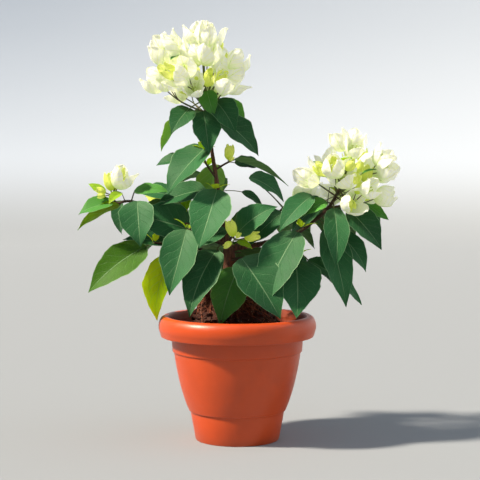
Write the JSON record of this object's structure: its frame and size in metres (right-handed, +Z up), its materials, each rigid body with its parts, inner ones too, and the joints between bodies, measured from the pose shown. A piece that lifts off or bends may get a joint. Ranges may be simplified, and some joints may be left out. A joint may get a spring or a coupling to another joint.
{
  "type": "bougainvillea bush",
  "caption": "Young white-flowered bougainvillea in a rim-topped flower pot: a woody stem with a leader and side boughs, pointed drooping leaves and papery blossom clusters.",
  "frame": {"origin": "middle of the flat underside of the pot", "axes": "+Z up along the pot's axis; -Y is the side that the plant shows, +X to the right of it"},
  "size_m": [0.4005, 0.2265, 0.5291],
  "materials": {
    "pot": "satin",
    "soil": "matte",
    "bark": "matte",
    "foliage": "matte"
  },
  "bodies": {
    "root": {"pot": "pot", "soil": "soil", "trunk": "bark", "bough_left": "bark", "bough_right": "bark", "bough_back_left": "bark", "bough_back_right": "bark", "bough_back": "bark", "foliage_head": "foliage", "foliage_upper_left": "foliage", "foliage_upper_right": "foliage", "foliage_middle": "foliage", "foliage_front_left": "foliage", "foliage_front_right": "foliage", "foliage_centre": "foliage", "foliage_left": "foliage", "foliage_right": "foliage", "foliage_low_left": "foliage", "foliage_low_right": "foliage", "foliage_back_left": "foliage", "foliage_back_right": "foliage", "foliage_back": "foliage", "foliage_back_low": "foliage"}
  },
  "joints": []
}
